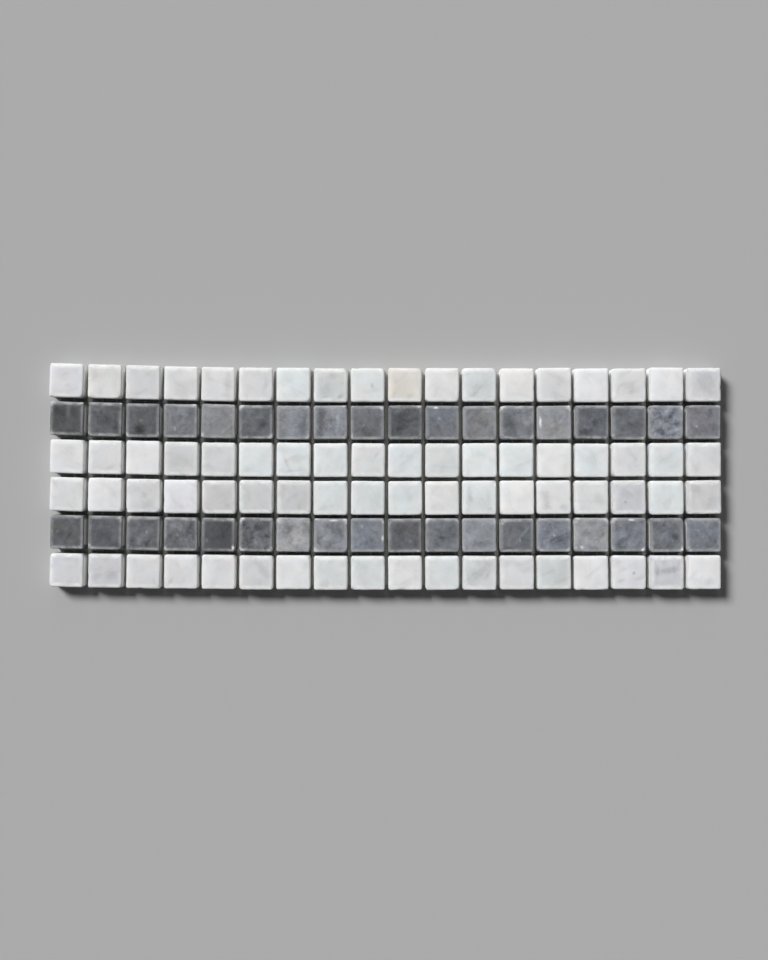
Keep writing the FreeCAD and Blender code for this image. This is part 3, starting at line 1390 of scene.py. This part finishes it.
# A patch of glue: points round it, how its underside is rounded, its rim's height and its depth,
# how far it reaches into the stone's back (millimetres), its bulges and its lumps
GLUE_AROUND = 28
GLUE_STEPS = (0.97, 0.86, 0.62, 0.32)
GLUE_RIM = 0.06
GLUE_DEPTH = 0.22
GLUE_INTO_BACK = 0.05
GLUE_BULGE = 0.30
GLUE_BULGES_ROUND = 1.4
GLUE_LUMP = 0.03
GLUE_LUMP_EVERY = 2.2
GLUE_PHASES = 500


def add_glue_patch(shape, centre, top, sizes, dice):
    """Adds one flat irregular patch of glue that hangs from a tile's back into the net."""
    first = len(shape.verts)
    bmesh.ops.create_circle(shape, cap_ends=True, radius=sizes.glue_reach, segments=GLUE_AROUND)
    shape.verts.ensure_lookup_table()
    face = shape.verts[first].link_faces[0]
    grown = bmesh.ops.extrude_face_region(shape, geom=[face], use_keep_orig=True)["geom"]
    upper = of_type(grown, bmesh.types.BMFace)[0]
    bmesh.ops.translate(shape, vec=(0, 0, GLUE_RIM * MM), verts=upper.verts[:])
    bmesh.ops.reverse_faces(shape, faces=[face])
    before = 1.0
    sunk = 0.0
    for share in GLUE_STEPS:
        level = GLUE_DEPTH * MM * math.sqrt(1 - share ** 2)
        face = raised(shape, face, sunk - level, share / before)
        before, sunk = share, level
    bmesh.ops.poke(shape, faces=[face])
    shape.verts.ensure_lookup_table()
    points = shape.verts[first:]
    phase = dice.uniform(0, GLUE_PHASES)
    for point in points:
        around = Vector((point.co.x, point.co.y, 0)).normalized()
        bulge = noise.noise(around * GLUE_BULGES_ROUND + Vector((phase, 0, 0))) * GLUE_BULGE
        lump = noise.noise(point.co / (GLUE_LUMP_EVERY * MM) + Vector((0, phase, 0))) * GLUE_LUMP
        point.co.x *= 1 + bulge
        point.co.y *= 1 + bulge
        if point.co.z < 0:
            point.co.z += lump * MM
    place = (centre.x, centre.y, top - GLUE_INTO_BACK * MM)
    bmesh.ops.translate(shape, vec=place, verts=points)


GLUE_LINE_WIDTH = 2.0
GLUE_LINE_THICKNESS = 0.24
GLUE_LINE_PITCH = 3.0


def cross_joints(rows):
    """Where the joints across the rows lie along X, between the middles of the tiles."""
    middles = [sum(tile.centre.x for tile in column) / len(column) for column in zip(*rows)]
    return [(left + right) / 2 for left, right in zip(middles, middles[1:])]


class MOSAIC_OT_glue(bpy.types.Operator):
    """Make the glue that holds the tiles on the net, in patches and under the cross joints"""

    bl_idname = "mosaic.glue"
    bl_label = "Glue"

    def execute(self, context):
        sizes = context.scene.mosaic_sizes
        dice = random.Random(sizes.seed + 1)
        low, high = net_box()
        shape = bmesh.new()
        shape.verts.layers.float_vector.new("along")
        rows = [laid_tiles(node) for node in sorted(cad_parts) if "_tiles_row_" in node]
        for tiles in rows:
            for laid in tiles:
                add_glue_patch(shape, laid.centre, high.z, sizes, dice)
        line_size = (high.y - low.y, GLUE_LINE_WIDTH * MM, GLUE_LINE_THICKNESS * MM)
        for x in cross_joints(rows):
            place = Vector((x, (low.y + high.y) / 2, (low.z + high.z) / 2))
            phase = dice.uniform(0, GLUE_PHASES)
            add_cross_strand(shape, place, line_size, GLUE_LINE_PITCH * MM, GLUE_WAVER, phase)
        bmesh.ops.recalc_face_normals(shape, faces=shape.faces)
        piece_from(shape, "glue", dried_glue(context.scene.mosaic_colours), "net")
        return {"FINISHED"}


# The photo in pixels: its height, a millimetre, and the middles of the sheet and of the image
IMAGE_HEIGHT = 960
PIXELS_PER_MM = 2.2095
SHEET_MIDDLE_X = 385.1
SHEET_MIDDLE_Y = 476.5
IMAGE_MIDDLE_X = 384.0
IMAGE_MIDDLE_Y = 480.0

# The camera's height above the floor in metres, and the width of its sensor in millimetres
CAMERA_HEIGHT = 0.50
SENSOR = 36.0

# The floor's side in metres is large enough to fill low views
FLOOR_SIDE = 60.0
FLOOR_ROUGHNESS = 0.9
FLOOR_GLOSS = 0.1

# The lamp, the even fill, and the strip light: its reach to each side of straight up, what is left
# of it at the front, and the heights between which it fades out overhead
KEY_STRENGTH = 4.05
KEY_ELEVATION = math.radians(41)
KEY_BEARING = math.radians(47)
KEY_SPREAD = math.radians(20)
FILL_EVEN = 0.03
FILL_STRIP = 4.5
STRIP_REACH = 0.12
STRIP_FRONT = 0.5
STRIP_FULL_BELOW = 0.6
STRIP_GONE_ABOVE = 1.0


def make_floor(colour):
    """A plain floor under the sheet."""
    shape = bmesh.new()
    bmesh.ops.create_grid(shape, x_segments=1, y_segments=1, size=FLOOR_SIDE / 2)
    material = Finish("floor").done({
        "Base Color": colour,
        "Roughness": FLOOR_ROUGHNESS,
        "Specular IOR Level": FLOOR_GLOSS,
    })
    floor = object_from(shape, "floor", material)


def make_light():
    """One soft key light from the upper left, with its rays along its own minus Z."""
    key = bpy.data.lights.new("key", "SUN")
    key.energy = KEY_STRENGTH
    key.angle = KEY_SPREAD
    lamp = placed("key", key)
    towards_key = Vector((
        -math.sin(KEY_BEARING) * math.cos(KEY_ELEVATION),
        math.cos(KEY_BEARING) * math.cos(KEY_ELEVATION),
        math.sin(KEY_ELEVATION),
    ))
    lamp.rotation_euler = towards_key.to_track_quat("Z", "Y").to_euler()


def make_world(colour):
    """A long strip light over the sheet from back to front, dark overhead, on a faint even
    fill. The pale floor's colour goes on behind it."""
    world = bpy.data.worlds.new("studio")
    sky = ShaderNodes(world)
    direction = sky.node("ShaderNodeTexCoord", {}, {}, "Generated")
    across, towards_back, up = sky.parts(direction)
    strip = sky.fade(abs(across), STRIP_REACH, 0.0)
    strip = strip * sky.fade(up, STRIP_GONE_ABOVE, STRIP_FULL_BELOW)
    strip = strip * (STRIP_FRONT + (1.0 - STRIP_FRONT) * 0.5 * (towards_back + 1.0))
    strength = FILL_EVEN + FILL_STRIP * strip
    fill = sky.node("ShaderNodeBackground", {}, {"Strength": strength}, "Background")
    seen = sky.node("ShaderNodeBackground", {}, {"Color": colour}, "Background")

    is_seen = sky.node("ShaderNodeLightPath", {}, {}, "Is Camera Ray")
    for ray in ("Is Glossy Ray", "Is Transmission Ray"):
        is_ray = sky.node("ShaderNodeLightPath", {}, {}, ray)
        is_seen = sky.larger(is_seen, is_ray)
    shown = sky.node("ShaderNodeMixShader", {}, {"Fac": is_seen, 1: fill, 2: seen}, "Shader")
    sky.node("ShaderNodeOutputWorld", {}, {"Surface": shown})
    bpy.context.scene.world = world


def make_camera():
    """A camera straight above, framed as the photo is."""
    middle = (CAD_BOX[0] + CAD_BOX[1]) / 2
    camera = bpy.data.cameras.new("camera")
    camera.sensor_width = SENSOR
    field = IMAGE_HEIGHT / PIXELS_PER_MM * MM
    camera.lens = SENSOR * (CAMERA_HEIGHT - CAD_BOX[1].z) / field
    eye = placed("camera", camera)
    eye.location = (
        middle.x + (IMAGE_MIDDLE_X - SHEET_MIDDLE_X) / PIXELS_PER_MM * MM,
        middle.y + (SHEET_MIDDLE_Y - IMAGE_MIDDLE_Y) / PIXELS_PER_MM * MM,
        CAMERA_HEIGHT,
    )
    bpy.context.scene.camera = eye


class MOSAIC_OT_stage(bpy.types.Operator):
    """Make the floor, the light and the camera"""

    bl_idname = "mosaic.stage"
    bl_label = "Stage"

    def execute(self, context):
        colour = context.scene.mosaic_colours.floor
        make_floor(colour)
        make_light()
        make_world(colour)
        make_camera()
        context.scene.view_settings.view_transform = "Standard"
        return {"FINISHED"}


class MOSAIC_PT_panel(bpy.types.Panel):
    """Lists the steps and sizes of the mosaic sheet"""

    bl_idname = "MOSAIC_PT_panel"
    bl_label = "Mosaic sheet"
    bl_space_type = "VIEW_3D"
    bl_region_type = "UI"
    bl_category = "Mosaic"

    def draw(self, context):
        layout = self.layout
        for operator in OPERATORS:
            layout.operator(operator.bl_idname)
        for group in (context.scene.mosaic_sizes, context.scene.mosaic_colours):
            for name in group.__annotations__:
                layout.prop(group, name)


OPERATORS = (
    MOSAIC_OT_white_tiles,
    MOSAIC_OT_grey_tiles,
    MOSAIC_OT_net,
    MOSAIC_OT_glue,
    MOSAIC_OT_stage,
)
CLASSES = (MosaicSizes, MosaicColours, *OPERATORS, MOSAIC_PT_panel)


def register():
    """Adds the classes and the scene's settings."""
    for made in CLASSES:
        bpy.utils.register_class(made)
    bpy.types.Scene.mosaic_sizes = PointerProperty(type=MosaicSizes)
    bpy.types.Scene.mosaic_colours = PointerProperty(type=MosaicColours)


def unregister():
    """Takes them away again."""
    del bpy.types.Scene.mosaic_colours
    del bpy.types.Scene.mosaic_sizes
    for made in reversed(CLASSES):
        bpy.utils.unregister_class(made)


def main():
    """Makes the whole sheet and its stage."""
    register()
    bpy.ops.mosaic.white_tiles()
    bpy.ops.mosaic.grey_tiles()
    bpy.ops.mosaic.net()
    bpy.ops.mosaic.glue()
    bpy.ops.mosaic.stage()


if __name__ == "__main__":
    main()
